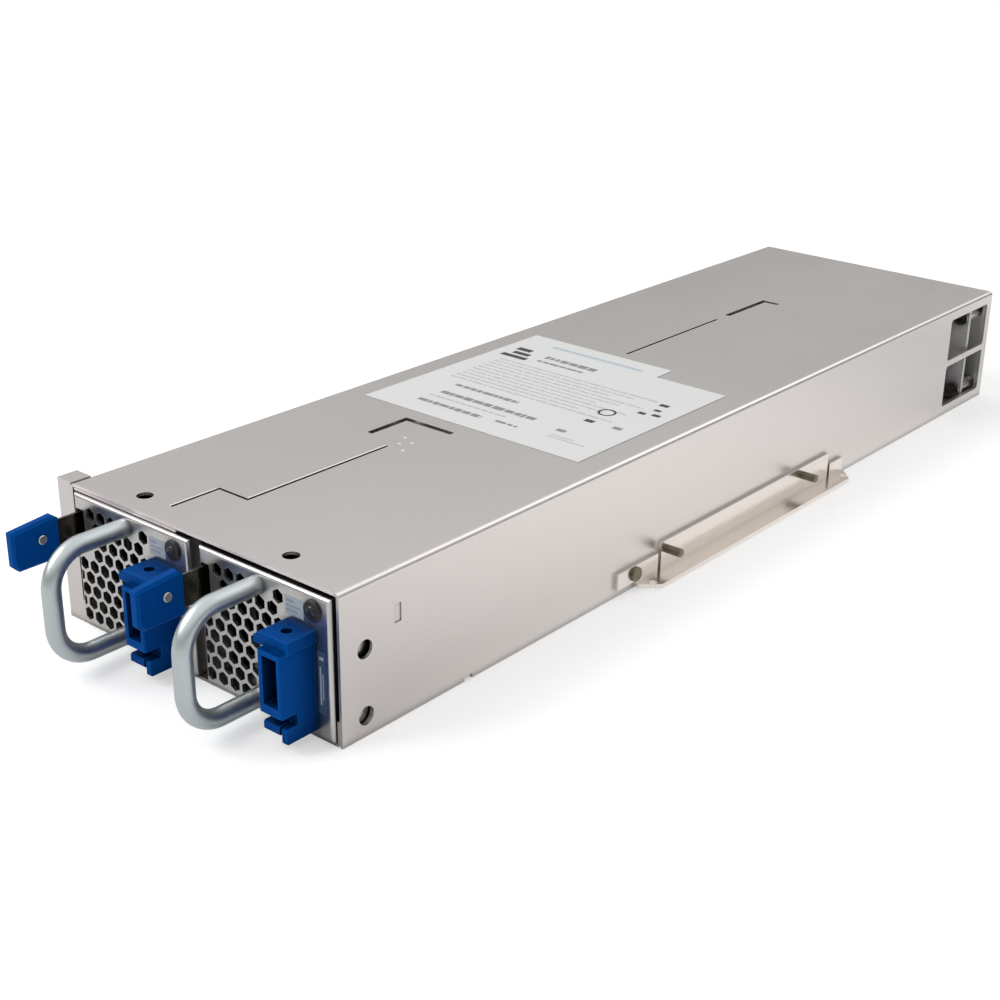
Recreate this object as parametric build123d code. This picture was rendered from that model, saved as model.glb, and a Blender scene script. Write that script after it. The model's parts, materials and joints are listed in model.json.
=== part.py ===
from build123d import *
import math
import os

# A redundant power supply: a folded sheet-metal cage, one rack unit high, with two
# identical hot-swap supply modules side by side. Millimetres, +Z up, front towards -Y.
# The origin is the centre of the cage's bottom face.

# Cage
cage_w = 100.0
cage_h = 41.0
cage_l = 344.0
sheet = 0.8
bend_r = 1.3
base_flange_h = 7.0
partition_t = 0.8
partition_flange = 6.6
partition_gap = 1.6
partition_tab_l = 12.0
partition_tab_count = 5
partition_end_gap = 4.0
side_gap = 0.4
lift_gap = 0.3
rear_space = 38.0

# Cuts in the cage's top
top_hole_d = 4.5
top_hole_left = 21.4
top_hole_spacing = 55.0
top_hole_setback = 7.5
top_slot_w = 0.9
top_slot_step = 11.0
top_slot_start = 7.4
top_slot_crank = 23.4
top_slot_end = 75.0
top_hook_w = 2.0
top_hook_start = 79.0
top_hook_end = 95.4
top_hook_reach = 7.0
rear_cut_start = 188.0
rear_cut_end = 242.0
rear_hook_start = 248.4
rear_hook_end = 274.0
rear_hook_reach = 6.0

# Cuts in the cage's side walls
side_hole_d = 5.0
side_hole_spacing = 18.0
side_hole_low = 5.7
side_hole_setback = 8.1
side_hole_clear = 0.3
dimple_setback = 18.2
dimple_low = 26.6
dimple_h = 5.0
dimple_w = 2.4
dimple_t = 0.3
notch_setback = 43.5
notch_w = 3.0
notch_h = 1.2
vent_start = 33.0
vent_l = 29.5
vent_h = 15.6
vent_low = 3.6
vent_bar = 2.2
vent_corner = 1.2

# Front ear on the left wall
ear_w = 6.0
ear_l = 6.5

# Side bracket on the right wall
bracket_t = 1.2
bracket_front = 116.5
bracket_l = 118.0
bracket_h = 10.1
bracket_ledge = 7.0
bracket_low = 0.5
bracket_nose = 5.0
web_front_inset = 12.0
web_rear_inset = 10.0
web_relief = 1.5
tongue_l = 9.0
tongue_h = 5.0
tongue_low = 2.7
rear_tongue_h = 3.6
stud_d = 2.6
stud_l = 5.4
stud_low = 7.8
stud_front_inset = 2.8
stud_rear_inset = 16.5
stud_tail_d = 2.0
bracket_screw_d = 3.0
bracket_screw_head_d = 4.4
bracket_screw_inset = 8.2
ledge_hole_d = 2.6
ledge_hole_inset = 4.0
ledge_hole_out = 4.2

# Label
label_t = 0.15
label_inset = 8.4
label_front = 101.0
label_right = 9.4
label_l = 74.0
label_step_w = 56.0
label_step_l = 8.6

# Rear compartment
board_t = 1.6
backplane_gap = 11.4
socket_l = 15.0
socket_h = 9.0
socket_side = 3.0
header_w = 34.0
header_h = 12.6
header_z = 12.0
header_pitch = 4.2
header_cell = 3.4
header_columns = 7
header_wall = 2.0
standoff_d = 5.0
standoff_inset = 4.2
standoff_drop = 8.0
standoff_rise = 4.6
backplane_clear = 0.4
header_gap = 8.0
screw_d = 3.0
screw_head_d = 5.6
screw_head_h = 1.2
screw_play = 0.1
panel_lip = 2.4
panel_gap = 0.3
rear_slot_w = 3.0
rear_slot_drop = 5.0
rear_slot_pitch = 6.0
rear_slot_gap = 5.7
rear_slot_count = 13

# Supply module
face_proud = 1.0
wall = 0.8
pan_l = 8.0
hex_flats = 3.4
hex_pitch = 4.36
hex_left = 2.4
hex_low = 3.3
hex_columns = 7
hex_rows = 9
hex_gap = 0.35
hex_edge = 0.1
grille_bend_r = 1.1

# Handle
rod_d = 5.0
handle_x = 21.4
handle_low = 5.3
handle_drop = 3.7
handle_reach = 23.4
handle_bend_r = 10.0
handle_screw_d = 2.8
handle_screw_l = 7.0

# Release latch
strip_t = 0.6
strip_h = 9.0
strip_drop = 14.1
strip_gap = 0.3
strip_side_gap = 0.4
strip_tail = 50.0
strip_reach = 14.0
latch_slot_w = 3.2
latch_slot_clear = 1.0
barb_y = 20.0
barb_l = 5.0
barb_proud = 1.4
barb_low_share = 0.2
catch_gap = 0.6
barb_window_clear = 3.0
tab_t = 2.4
tab_l = 14.5
tab_h = 12.5
tab_start = 6.5
tab_rise = 1.3
tab_toe = 1.7
tab_under = 1.6
tab_bevel = 0.7
tab_rivet_d = 1.8
tab_rivet_head_d = 2.6
tab_rivet_head_h = 0.4
tab_rivet_inset = 5.6
tab_rivet_rise = 0.8
latch_rivet_d = 2.4
latch_rivet_inset = 4.0
latch_rivet_clear = 0.5
latch_rivet_play = 0.3
latch_rivet_head_d = 3.8
latch_rivet_head_h = 0.4

# Power inlet
inlet_w = 7.8
inlet_right = 5.5
inlet_l = 11.0
inlet_edge_r = 0.6
inlet_low = 10.2
inlet_h = 16.4
inlet_cap_h = 3.3
inlet_cap_l = 9.0
inlet_cap_left = 3.1
inlet_cap_right = 0.5
inlet_cap_step = 1.8
inlet_cap_hole_d = 3.0
inlet_mouth_w = 5.0
inlet_mouth_left = 1.6
inlet_wall = 2.2
inlet_neck_l = 6.0
inlet_neck_h = 3.1
inlet_foot_h = 2.5
inlet_foot_l = 9.8
inlet_foot_step = 1.7
inlet_foot_gap = 0.9
inlet_foot_left = 5.3
inlet_tail = 7.0
inlet_gap = 0.1
inlet_floor = 1.0
inlet_skin = 0.5
pin_d = 2.4
pin_l = 7.0
pin_tail = 2.0
pin_shares = (0.14, 0.5, 0.86)

# Indicator lamp
lamp_d = 4.8
lamp_lens_d = 3.1
lamp_right = 5.5
lamp_drop = 4.2
lamp_rim = 0.8
lamp_rim_d = 5.4
lamp_tail = 5.0
lamp_gap = 0.1
lens_proud = 0.5

# Fan
fan_start = 12.0
fan_l = 28.0
fan_left = 5.0
fan_gap = 0.2
fan_wall = 1.1
fan_hub_d = 18.0
fan_blades = 7
fan_blade_t = 1.0
fan_blade_chord = 10.0
fan_root_angle = 40.0
fan_tip_angle = 58.0
fan_tip_gap = 0.6
fan_strut_w = 2.2
fan_strut_l = 3.0
fan_shaft_d = 2.5
fan_shaft_gap = 0.06
fan_hole_d = 3.2
fan_corner_r = 2.0
fan_face_gap = 1.6
fan_rear_gap = 0.8
fan_hub_r = 1.2
fan_root_sink = 0.6
fan_tip_thin = 0.7
fan_tip_grow = 1.25
fan_hole_inset = 2.8
fan_flange_l = 3.0
fan_screw_d = 3.0
fan_screw_head_d = 4.8
fan_screw_tip = 2.0

# Module electronics
board_lift = 3.1
board_front_gap = 5.0
board_side_gap = 2.2
board_rear_gap = 1.2
edge_tongue_w = 26.0
edge_tongue_l = 16.0
edge_tongue_gap = 0.15
edge_tongue_play = 1.5
post_d = 5.0
post_foot_d = 3.0
post_side = 5.0
post_inset = 12.0
transformer_w = 28.0
transformer_l = 32.0
transformer_clear = 4.7
transformer_flange = 3.0
bobbin_inset = 2.0
coil_inset = 4.0
transformer_share = 0.4
capacitor_d = 18.0
capacitor_clear = 2.7
capacitor_y = 92.0
capacitor_pitch = 20.0
capacitor_count = 3
can_edge_r = 1.2
sink_t = 2.4
sink_l = 84.0
sink_clear = 4.7
sink_y = 62.0
fin_t = 1.0
fin_clear = 3.2
fin_count = 9
fin_low = 2.0
sink_inset = 4.0
choke_d = 19.0
choke_bore = 8.0
choke_h = 9.0
choke_back = 66.0
choke_pitch = 24.0
choke_count = 2
choke_edge_r = 2.0
exhaust_w = 4.6
exhaust_pitch = 6.6
exhaust_count = 6
exhaust_low = 13.0
exhaust_top = 6.0

# Lid and its screws
lid_flange_h = 6.0
lid_flange_start = 54.0
lid_flange_end = 8.0
lid_screw_d = 2.6
lid_screw_tip = 0.6
lid_screw_front = 64.0
lid_screw_rear = 24.0

# Values worked out from the sizes above
front = -cage_l / 2
rear = cage_l / 2
left = -cage_w / 2
right = cage_w / 2
module_w = cage_w / 2 - sheet * 2 - side_gap - partition_t / 2 - partition_gap
module_low = sheet + lift_gap
module_high = cage_h - sheet - partition_t - lift_gap
module_h = module_high - module_low
module_l = cage_l - rear_space + face_proud
module_lefts = {"a": left + sheet * 2 + side_gap, "b": partition_t / 2 + partition_gap}
fan_size = min(module_h - wall * 2 - fan_gap * 2, module_w - wall - fan_gap - fan_left)
fan_z = module_low + module_h / 2
board_z = module_low + wall + board_lift
board_top = board_z + board_t
board_y = fan_start + fan_l + board_front_gap
hex_row_pitch = hex_pitch * math.sqrt(3) / 2
inlet_x = module_w - inlet_right - inlet_w
strip_x = wall + strip_gap
strip_low = module_high - strip_drop
backplane_y = rear - sheet - backplane_gap - board_t
socket_front = backplane_y - socket_l
module_rear = front - face_proud + module_l
edge_tongue_x = (module_w - edge_tongue_w) / 2
label_w = cage_w - label_inset - label_right
rear_slot_low = header_z + header_h / 2 + rear_slot_gap
rear_slot_h = cage_h - rear_slot_drop - rear_slot_low
handle_span = module_high - handle_drop - handle_low
room_top = module_high - wall - board_top
transformer_h = room_top - transformer_clear
capacitor_h = room_top - capacitor_clear
sink_h = room_top - sink_clear
fin_l = module_w / 2 - capacitor_d / 2 - fin_clear - sink_inset - sink_t
choke_y = module_l - choke_back
cans_end = capacitor_y + (capacitor_count - 1) * capacitor_pitch + capacitor_d / 2
transformer_y = cans_end + (choke_y - cans_end - transformer_l) * transformer_share


def block(x0, x1, y0, y1, z0, z1):
    return Pos((x0 + x1) / 2, (y0 + y1) / 2, (z0 + z1) / 2) * Box(x1 - x0, y1 - y0, z1 - z0)


def rod_x(x0, x1, y, z, d):
    return Pos((x0 + x1) / 2, y, z) * Rot(0, 90, 0) * Cylinder(d / 2, x1 - x0)


def rod_y(y0, y1, x, z, d):
    return Pos(x, (y0 + y1) / 2, z) * Rot(90, 0, 0) * Cylinder(d / 2, y1 - y0)


def rod_z(z0, z1, x, y, d):
    return Pos(x, y, (z0 + z1) / 2) * Cylinder(d / 2, z1 - z0)


def window_x(x0, x1, y0, y1, z0, z1, r):
    opening = block(x0, x1, y0, y1, z0, z1)
    return fillet(opening.edges().filter_by(Axis.X), r)


def side_vents(x0, x1):
    y0 = rear - vent_start
    cuts = []
    for row in range(2):
        z0 = vent_low + row * (vent_h + vent_bar)
        cuts.append(window_x(x0, x1, y0, y0 + vent_l, z0, z0 + vent_h, vent_corner))
    return cuts


def top_slots():
    """Two cranked slots and a hook, cut along the edge of the partition's top flange."""
    z0 = cage_h - sheet * 2
    z1 = cage_h + sheet
    line = -partition_t / 2 - partition_flange
    step = line - top_slot_step
    half = top_slot_w / 2
    wide = top_hook_w / 2
    crank = top_slot_crank
    back = top_hook_end - top_hook_w
    runs = [
        (step - half, step + half, top_slot_start, crank + half),
        (step - half, line + half, crank - half, crank + half),
        (line - half, line + half, crank - half, top_slot_end),
        (step - wide, step + wide, top_hook_start, top_hook_end),
        (step - wide, line + top_hook_reach, back, top_hook_end),
        (line - half, line + half, rear_cut_start, rear_cut_end),
        (line - wide, line + wide, rear_hook_start, rear_hook_end),
        (line - wide, line + rear_hook_reach, rear_hook_end - top_hook_w, rear_hook_end),
    ]
    return [block(x0, x1, front + y0, front + y1, z0, z1) for x0, x1, y0, y1 in runs]


def make_cage_wrap():
    """One folded sheet: the top and both side walls."""
    outer = block(left, right, front, rear, 0, cage_h)
    outer = fillet(outer.edges().filter_by(Axis.Y).group_by(Axis.Z)[-1], bend_r)
    inner = block(left + sheet, right - sheet, front - 1, rear + 1, -1, cage_h - sheet)
    inner = fillet(inner.edges().filter_by(Axis.Y).group_by(Axis.Z)[-1], bend_r - sheet)
    wrap = outer - inner
    for x in (left + top_hole_left, left + top_hole_left + top_hole_spacing):
        wrap -= rod_z(cage_h - sheet * 2, cage_h + 1, x, front + top_hole_setback, top_hole_d)
    for cut in top_slots():
        wrap -= cut
    for side in (0, 1):
        z = side_hole_low + side * side_hole_spacing
        wrap -= rod_x(right - sheet * 2, right + 1, front + side_hole_setback, z, side_hole_d)
    dimple_y = front + dimple_setback
    dimple_x = right - dimple_t
    wrap -= block(dimple_x, right + 1, dimple_y, dimple_y + dimple_w, dimple_low, dimple_low + dimple_h)
    wrap -= edge_notch()
    wrap -= catch_window(left - 1, left + sheet + 0.1, module_lefts["a"])
    for x in (left, right):
        for cut in side_vents(x - sheet * 3, x + sheet * 3):
            wrap -= cut
    return wrap


def edge_notch():
    """A small notch in the bottom edge of the right wall, through the flange behind it."""
    y = front + notch_setback
    return block(right - sheet * 2.5, right + 1, y, y + notch_w, -1, notch_h)


def catch_window(x0, x1, module_x):
    """The window that a module's catch springs into."""
    y = front - face_proud + barb_y
    z0 = strip_low + strip_h * barb_low_share
    z1 = strip_low + strip_h * (1 - barb_low_share)
    gap = catch_gap
    return block(x0, x1, y - gap, y + barb_l + gap, z0 - gap, z1 + gap)


def make_cage_base():
    """The bottom sheet, with low flanges folded up inside the walls."""
    x0 = left + sheet
    x1 = right - sheet
    outer = block(x0, x1, front, rear, 0, base_flange_h)
    outer = fillet(outer.edges().filter_by(Axis.Y).group_by(Axis.Z)[0], bend_r)
    inner = block(x0 + sheet, x1 - sheet, front - 1, rear + 1, sheet, base_flange_h + 1)
    inner = fillet(inner.edges().filter_by(Axis.Y).group_by(Axis.Z)[0], bend_r - sheet)
    base = outer - inner
    for y in partition_tabs():
        base -= block(-partition_t / 2, partition_t / 2, y, y + partition_tab_l, -1, sheet + 1)
    base -= edge_notch()
    hole_d = side_hole_d + side_hole_clear * 2
    base -= rod_x(x1 - sheet * 2, x1 + 1, front + side_hole_setback, side_hole_low, hole_d)
    for x in (left, right):
        for cut in side_vents(x - sheet * 3, x + sheet * 3):
            base -= cut
    return base


def partition_tabs():
    y0 = front + partition_end_gap + partition_tab_l
    y1 = socket_front - partition_end_gap - partition_tab_l * 2
    step = (y1 - y0) / (partition_tab_count - 1)
    return [y0 + step * i for i in range(partition_tab_count)]


def make_centre_partition():
    """A web between the bays, with a flange under the top sheet and tabs through the base."""
    y0 = front + partition_end_gap
    y1 = socket_front - partition_end_gap
    half = partition_t / 2
    z1 = cage_h - sheet
    part = block(-half, half, y0, y1, sheet, z1)
    part += block(-half - partition_flange, half, y0, y1, z1 - partition_t, z1)
    for y in partition_tabs():
        part += block(-half, half, y, y + partition_tab_l, 0, sheet)
    bend = part.edges().filter_by(Axis.Y).group_by(Axis.Z)[-1].sort_by(Axis.X)[-1]
    part = fillet(bend, half)
    for cut in top_slots():
        part -= cut
    return part - catch_window(-partition_t, partition_t, module_lefts["b"])


def standoff_places():
    x = cage_w / 2 - sheet - standoff_inset
    return [(sx * x, z) for sx in (-1, 1) for z in (cage_h - standoff_drop, standoff_rise)]


def header_places():
    x = (header_w + header_gap) / 2
    return [-x, x]


def make_rear_panel():
    """The closing panel, with air slots above an opening for the output headers."""
    x1 = right - sheet
    y0 = rear - sheet
    lip_y = y0 - panel_lip
    panel = block(-x1, x1, lip_y, rear, sheet, cage_h - sheet)
    panel = fillet(panel.edges().filter_by(Axis.Y).group_by(Axis.Z)[-1], bend_r - sheet)
    panel -= block(sheet - x1, x1 - sheet, lip_y - 1, y0, -1, cage_h)
    flange_top = base_flange_h + panel_gap
    for side in (-1, 1):
        near = x1 - sheet - panel_gap
        x = sorted((side * near, side * (x1 + 1)))
        panel -= block(x[0], x[1], lip_y - 1, rear + 1, -1, flange_top)
    for x in header_places():
        gap = panel_gap
        z0 = header_z - header_h / 2 - gap
        z1 = header_z + header_h / 2 + gap
        panel -= block(x - header_w / 2 - gap, x + header_w / 2 + gap, y0 - 1, rear + 1, z0, z1)
    for i in range(rear_slot_count):
        x = (i - (rear_slot_count - 1) / 2) * rear_slot_pitch
        x0 = x - rear_slot_w / 2
        z1 = rear_slot_low + rear_slot_h
        panel -= block(x0, x0 + rear_slot_w, y0 - 1, rear + 1, rear_slot_low, z1)
    for x, z in standoff_places():
        panel -= rod_y(y0 - 1, rear + 1, x, z, screw_d)
    return panel


def make_front_ear():
    """A folded flange on the left wall, closed on top, that stands out beside the front."""
    x0 = left - ear_w
    ear = block(x0, left, front, front + sheet, 0, cage_h)
    ear += block(left - sheet, left, front, front + ear_l, 0, cage_h)
    ear += block(x0, left, front, front + ear_l, cage_h - sheet, cage_h)
    corner = ear.edges().filter_by(Axis.Z).group_by(Axis.Y)[0].sort_by(Axis.X)[0]
    return fillet(corner, sheet / 2)


def bracket_ends():
    y0 = front + bracket_front
    return y0, y0 + bracket_l


def make_side_bracket():
    """An angle bent from one strip: a web against the right wall and a ledge below it.

    Narrow relief cuts part the web from the two end tongues, which stay on the wall.
    """
    y0, y1 = bracket_ends()
    x0 = right
    x1 = right + bracket_t
    web_y0 = y0 + web_front_inset
    web_y1 = y1 - web_rear_inset
    z0 = bracket_low
    bracket = block(x0, right + bracket_ledge, y0, y1, z0, z0 + bracket_t)
    nose = bracket.edges().filter_by(Axis.Z).group_by(Axis.X)[-1]
    bracket = chamfer(nose, bracket_nose)
    bracket += block(x0, x1, web_y0, web_y1, z0, z0 + bracket_h)
    bracket += block(x0, x1, y0, web_y0 - web_relief, z0, tongue_low + tongue_h)
    bracket += block(x0, x1, y0 - tongue_l, web_y0 - web_relief, tongue_low, tongue_low + tongue_h)
    bracket += block(x0, x1, web_y1 + web_relief, y1, z0, tongue_low + rear_tongue_h)
    for y in (y0 + ledge_hole_inset, y1 - ledge_hole_inset):
        bracket -= rod_z(z0 - 1, z0 + bracket_t + 1, right + ledge_hole_out, y, ledge_hole_d)
    bracket -= rod_x(x0 - 1, x1 + 1, bracket_screw_y(), tongue_low + tongue_h / 2, bracket_screw_d)
    for y in bracket_studs():
        bracket -= rod_x(x0 - 1, x1 + 1, y, stud_low, stud_tail_d)
    return bracket


def bracket_screw_y():
    return front + bracket_front - tongue_l + bracket_screw_inset


def bracket_studs():
    y0, y1 = bracket_ends()
    return [y0 + web_front_inset + stud_front_inset, y1 - web_rear_inset - stud_rear_inset]


def make_bracket_studs():
    """Shouldered studs, riveted through the bracket's web and standing out from it."""
    x1 = right + bracket_t
    studs = []
    for y in bracket_studs():
        stud = rod_x(x1, x1 + stud_l, y, stud_low, stud_d)
        stud = chamfer(stud.edges().group_by(Axis.X)[-1], stud_d / 8)
        studs.append(stud + rod_x(right, x1, y, stud_low, stud_tail_d))
    return studs


def make_bracket_screw():
    """A screw through the front tongue, with its head on the tongue."""
    x1 = right + bracket_t
    y = bracket_screw_y()
    z = tongue_low + tongue_h / 2
    head = rod_x(x1, x1 + screw_head_h, y, z, bracket_screw_head_d)
    head = fillet(head.edges().group_by(Axis.X)[-1], screw_head_h / 2)
    return head + rod_x(right, x1, y, z, bracket_screw_d)


def make_rating_label():
    """A bare printed film on the cage's top, with a stepped rear edge."""
    x0 = left + label_inset
    y0 = front + label_front
    z = cage_h
    film = block(x0, x0 + label_w, y0, y0 + label_l, z, z + label_t)
    return film + block(x0, x0 + label_step_w, y0 + label_l, y0 + label_l + label_step_l, z, z + label_t)


def make_backplane_board():
    x1 = right - sheet * 2 - backplane_clear
    z0 = sheet + backplane_clear
    z1 = cage_h - sheet - backplane_clear
    board = block(-x1, x1, backplane_y, backplane_y + board_t, z0, z1)
    for x, z in standoff_places():
        board -= rod_y(backplane_y - 1, backplane_y + board_t + 1, x, z, screw_d)
    return board


def make_backplane_sockets():
    """One socket for each module's edge tongue, open towards the module."""
    sockets = []
    z = board_z + board_t / 2
    z0 = z - socket_h / 2
    z1 = z + socket_h / 2
    for name in module_lefts:
        x0 = module_lefts[name] + edge_tongue_x
        x1 = x0 + edge_tongue_w
        body = block(x0 - socket_side, x1 + socket_side, socket_front, backplane_y, z0, z1)
        body = chamfer(body.edges().filter_by(Axis.Z).group_by(Axis.Y)[0], socket_side / 3)
        gap = edge_tongue_gap
        depth = module_rear + edge_tongue_l + edge_tongue_play
        slot_z = board_t / 2 + gap
        slot = block(x0 - gap, x1 + gap, socket_front - 1, depth, z - slot_z, z + slot_z)
        sockets.append(body - slot)
    return sockets


def make_output_headers():
    """Two output headers with two rows of square cells, reached through the rear panel."""
    headers = []
    for x in header_places():
        y0 = backplane_y + board_t
        z = header_z
        header = block(x - header_w / 2, x + header_w / 2, y0, rear, z - header_h / 2, z + header_h / 2)
        for column in range(header_columns):
            for row in (-1, 1):
                cx = x + (column - (header_columns - 1) / 2) * header_pitch
                cz = z + row * header_pitch / 2
                half = header_cell / 2
                header -= block(cx - half, cx + half, y0 + header_wall, rear + 1, cz - half, cz + half)
        headers.append(header)
    return headers


def make_backplane_screws():
    """Standoffs between the backplane and the rear panel, each with its two screw heads."""
    pieces = []
    y0 = backplane_y + board_t
    y1 = rear - sheet
    for x, z in standoff_places():
        post = rod_y(y0, y1, x, z, standoff_d)
        post += rod_y(backplane_y, rear, x, z, screw_d - screw_play)
        post += rod_y(rear, rear + screw_head_h, x, z, screw_head_d)
        post += rod_y(backplane_y - screw_head_h, backplane_y, x, z, screw_head_d)
        pieces.append(post)
    return pieces


def hex_places():
    """A staggered field of hexagons, less those where the handle's feet or the strip are."""
    places = []
    feet = [(handle_x, handle_low), (handle_x, handle_low + handle_span)]
    keep = rod_d / 2 + hex_flats / 2 + hex_gap
    reach = hex_flats / 2
    slot_x = wall + latch_slot_w + reach + hex_gap
    slot_z0 = strip_low - latch_slot_clear - reach - hex_gap
    slot_z1 = strip_low + strip_h + latch_slot_clear + reach + hex_gap
    for row in range(hex_rows):
        odd = row % 2
        start = hex_left - hex_pitch / 2 if odd else hex_left
        z = module_low + hex_low + row * hex_row_pitch
        for column in range(hex_columns):
            x = start + column * hex_pitch
            clear = min(math.hypot(x - fx, z - fz) for fx, fz in feet)
            by_slot = x < slot_x and slot_z0 < z < slot_z1
            inside = z + reach < module_high - wall - hex_gap and x + reach < inlet_x
            if clear > keep and inside and not by_slot:
                places.append((x, z))
    return places


def lamp_place():
    return module_w - lamp_right, module_high - lamp_drop


def make_front_plate():
    """The module's front: a folded pan with a honeycomb of air holes."""
    outer = block(0, module_w, 0, pan_l, module_low, module_high)
    outer = fillet(outer.edges().group_by(Axis.Y)[0], grille_bend_r)
    inner = block(wall, module_w - wall, wall, pan_l + 1, module_low + wall, module_high - wall)
    inner = fillet(inner.edges().group_by(Axis.Y)[0], grille_bend_r - wall)
    pan = outer - inner
    holes = Sketch()
    for x, z in hex_places():
        holes += Pos(x, z) * RegularPolygon(hex_flats / 2, 6, major_radius=False, rotation=30)
    edge = wall + hex_edge
    field = Pos(module_w / 2 + edge, cage_h / 2) * Rectangle(module_w, cage_h)
    pan -= extrude(Plane.XZ * (holes & field), amount=wall * 2, both=True)
    for z in handle_heights():
        pan -= rod_y(-1, wall + 1, handle_x, z, handle_screw_d)
    lx, lz = lamp_place()
    pan -= rod_y(-1, wall + 1, lx, lz, lamp_d + lamp_gap)
    z0 = strip_low - latch_slot_clear
    z1 = strip_low + strip_h + latch_slot_clear
    pan -= block(wall, wall + latch_slot_w, -1, wall + 1, z0, z1)
    pan -= inlet_tail_block(inlet_gap, -1, wall + 1)
    return pan


def inlet_tail_block(gap, y0, y1):
    """The part of the inlet that passes through the front plate, grown by a gap."""
    x0 = inlet_x + inlet_wall / 2 - gap
    x1 = inlet_x + inlet_w - inlet_wall / 2 + gap
    z0 = inlet_low + inlet_wall / 2 - gap
    z1 = inlet_low + inlet_h - inlet_wall / 2 + gap
    return block(x0, x1, y0, y1, z0, z1)


def handle_heights():
    return [handle_low, handle_low + handle_span]


def make_handle():
    """A U of round rod in an upright plane, with a tapped hole in each end."""
    z0, z1 = handle_heights()
    y = -handle_reach
    x = handle_x
    path = FilletPolyline((x, 0, z1), (x, y, z1), (x, y, z0), (x, 0, z0), radius=handle_bend_r)
    section = Plane((x, 0, z1), z_dir=(0, -1, 0)) * Circle(rod_d / 2)
    handle = sweep(section, path=path)
    for z in (z0, z1):
        handle -= rod_y(-handle_screw_l, 1, x, z, handle_screw_d)
    return handle


def make_handle_screws():
    """A screw from inside the front plate into each end of the handle."""
    screws = []
    for z in handle_heights():
        screw = rod_y(-handle_screw_l, wall, handle_x, z, handle_screw_d)
        screws.append(screw + rod_y(wall, wall + screw_head_h, handle_x, z, rod_d))
    return screws


def latch_rivet_places():
    y = strip_tail - latch_rivet_inset
    return [(y, strip_low + strip_h * 0.25), (y, strip_low + strip_h * 0.75)]


def make_latch_spring():
    """A spring-steel strip along the module's left wall, with the catch pressed out of it."""
    x0 = strip_x
    strip = block(x0, x0 + strip_t, -strip_reach, strip_tail, strip_low, strip_low + strip_h)
    z0 = strip_low + strip_h * barb_low_share
    z1 = strip_low + strip_h * (1 - barb_low_share)
    ramp = Polyline((x0, barb_y), (x0 - barb_proud, barb_y), (x0, barb_y + barb_l), close=True)
    strip += extrude(Plane((0, 0, z0)) * make_face(ramp), amount=z1 - z0)
    for y, z in latch_rivet_places():
        strip -= rod_x(x0 - 1, x0 + strip_t + 1, y, z, latch_rivet_d)
    rivet_y, rivet_z = tab_rivet_place()
    return strip - rod_x(x0 - 1, x0 + strip_t + 1, rivet_y, rivet_z, tab_rivet_d)


def tab_rivet_place():
    return -tab_start - tab_rivet_inset, strip_low + strip_h / 2 + tab_rivet_rise


def tab_x():
    return strip_x + strip_t / 2 - tab_t / 2


def make_release_tab():
    """A moulded thumb tab over the strip's end: its top edge rises to the rear."""
    y0 = -tab_start - tab_l
    y1 = -tab_start
    z0 = strip_low - tab_under
    z1 = z0 + tab_h
    outline = Polyline(
        (y0 + tab_toe, z0),
        (y1, z0),
        (y1, z1 - tab_rise),
        (y1 - tab_toe, z1),
        (y0, z1 - tab_rise),
        (y0, z0 + tab_toe),
        close=True,
    )
    x0 = tab_x()
    tab = extrude(Plane((x0, 0, 0), x_dir=(0, 1, 0), z_dir=(1, 0, 0)) * make_face(outline), amount=tab_t)
    tab = chamfer(tab.edges().group_by(Axis.X)[-1], tab_bevel)
    tab -= block(strip_x, strip_x + strip_t, -strip_reach, y1 + 1, strip_low, strip_low + strip_h)
    rivet_y, rivet_z = tab_rivet_place()
    return tab - rod_x(x0 - 1, x0 + tab_t + 1, rivet_y, rivet_z, tab_rivet_d)


def make_tab_rivet():
    rivet_y, rivet_z = tab_rivet_place()
    x0 = tab_x()
    x1 = x0 + tab_t
    head = rod_x(x1, x1 + tab_rivet_head_h, rivet_y, rivet_z, tab_rivet_head_d)
    head = fillet(head.edges().group_by(Axis.X)[-1], tab_rivet_head_h * 0.7)
    return head + rod_x(x0, x1, rivet_y, rivet_z, tab_rivet_d)


def make_latch_rivets():
    """Two rivets that hold the strip's rear end to the left wall."""
    rivets = []
    for y, z in latch_rivet_places():
        x0 = -latch_rivet_head_h - latch_rivet_play
        x1 = strip_x + strip_t
        rivet = rod_x(x0, x1, y, z, latch_rivet_d)
        rivet += rod_x(x0, -latch_rivet_play, y, z, latch_rivet_head_d)
        rivet += rod_x(x1, x1 + latch_rivet_head_h, y, z, latch_rivet_head_d)
        rivets.append(rivet)
    return rivets


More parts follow.
